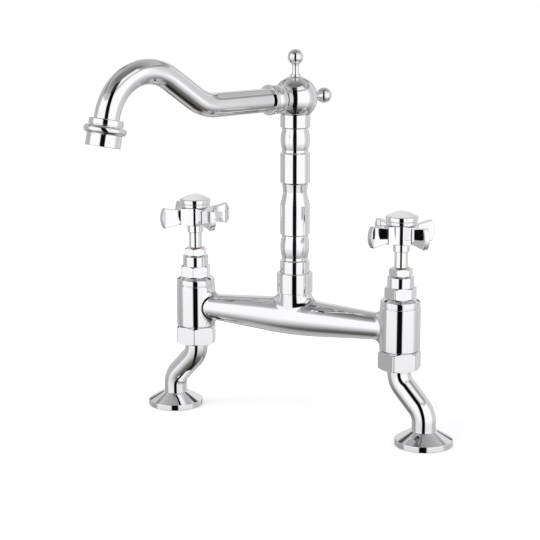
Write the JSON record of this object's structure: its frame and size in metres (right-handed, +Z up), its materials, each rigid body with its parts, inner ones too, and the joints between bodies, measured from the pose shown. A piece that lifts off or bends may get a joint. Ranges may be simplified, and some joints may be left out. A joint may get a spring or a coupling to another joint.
{
  "type": "bridge kitchen faucet",
  "caption": "Deck-mounted bridge kitchen faucet with a turned swivelling column, arched spout, cross handles with domed white indices and cranked legs.",
  "frame": {"origin": "on the deck, midway between the two supply inlets and under the spout column's axis", "axes": "+Z up, +X towards the right-hand valve as the user faces the faucet, -Y towards the user"},
  "size_m": [0.3002, 0.2474, 0.3327],
  "materials": {
    "chrome": "polished",
    "index_white": "gloss",
    "rubber": "matte",
    "brass": "satin",
    "ceramic": "satin",
    "plastic_white": "satin",
    "plastic_grey": "satin",
    "steel": "satin"
  },
  "bodies": {
    "bridge": {"bridge_body": "chrome", "retaining_collar": "chrome", "thrust_washer": "plastic_white", "left_union_nut": "chrome", "left_union_washer": "rubber", "left_headworks": "chrome", "left_headworks_ring": "rubber", "left_seat_seal": "rubber", "left_fixed_disc": "ceramic", "left_packing": "plastic_white", "left_gland_nut": "chrome", "right_union_nut": "chrome", "right_union_washer": "rubber", "right_headworks": "chrome", "right_headworks_ring": "rubber", "right_seat_seal": "rubber", "right_fixed_disc": "ceramic", "right_packing": "plastic_white", "right_gland_nut": "chrome"},
    "left_leg_set": {"left_leg": "chrome", "left_foot_flange": "chrome", "left_foot_gasket": "rubber"},
    "left_handle": {"left_spindle": "brass", "left_spindle_ring": "rubber", "left_spindle_sleeve": "chrome", "left_moving_disc": "ceramic", "left_handle_cross": "chrome", "left_handle_screw": "steel", "left_index_bezel": "chrome", "left_index_disc": "index_white"},
    "right_leg_set": {"right_leg": "chrome", "right_foot_flange": "chrome", "right_foot_gasket": "rubber"},
    "right_handle": {"right_spindle": "brass", "right_spindle_ring": "rubber", "right_spindle_sleeve": "chrome", "right_moving_disc": "ceramic", "right_handle_cross": "chrome", "right_handle_screw": "steel", "right_index_bezel": "chrome", "right_index_disc": "index_white"},
    "spout": {"spout_column": "chrome", "column_rings": "rubber", "slip_ring": "plastic_white", "elbow_ball": "chrome", "top_finial": "chrome", "rear_finial": "chrome", "spout_ferrule": "chrome", "spout_tube": "chrome", "nozzle_collar": "chrome", "aerator_housing": "chrome", "aerator_washer": "rubber", "aerator_insert": "plastic_grey"}
  },
  "joints": [
    {"name": "left_handle_turn", "type": "hinge", "parent": "bridge", "child": "left_handle", "pos_m": [-0.1, 0, 0], "axis": [0, 0, 1], "range_deg": [0, 90]},
    {"name": "right_handle_turn", "type": "hinge", "parent": "bridge", "child": "right_handle", "pos_m": [0.1, 0, 0], "axis": [0, 0, 1], "range_deg": [-90, 0]},
    {"name": "spout_swivel", "type": "hinge", "parent": "bridge", "child": "spout", "pos_m": [0, 0, 0], "axis": [0, 0, 1], "continuous": true},
    {"name": "left_leg_turn", "type": "hinge", "parent": "bridge", "child": "left_leg_set", "pos_m": [-0.1, 0, 0], "axis": [0, 0, 1], "continuous": true},
    {"name": "right_leg_turn", "type": "hinge", "parent": "bridge", "child": "right_leg_set", "pos_m": [0.1, 0, 0], "axis": [0, 0, 1], "continuous": true}
  ]
}
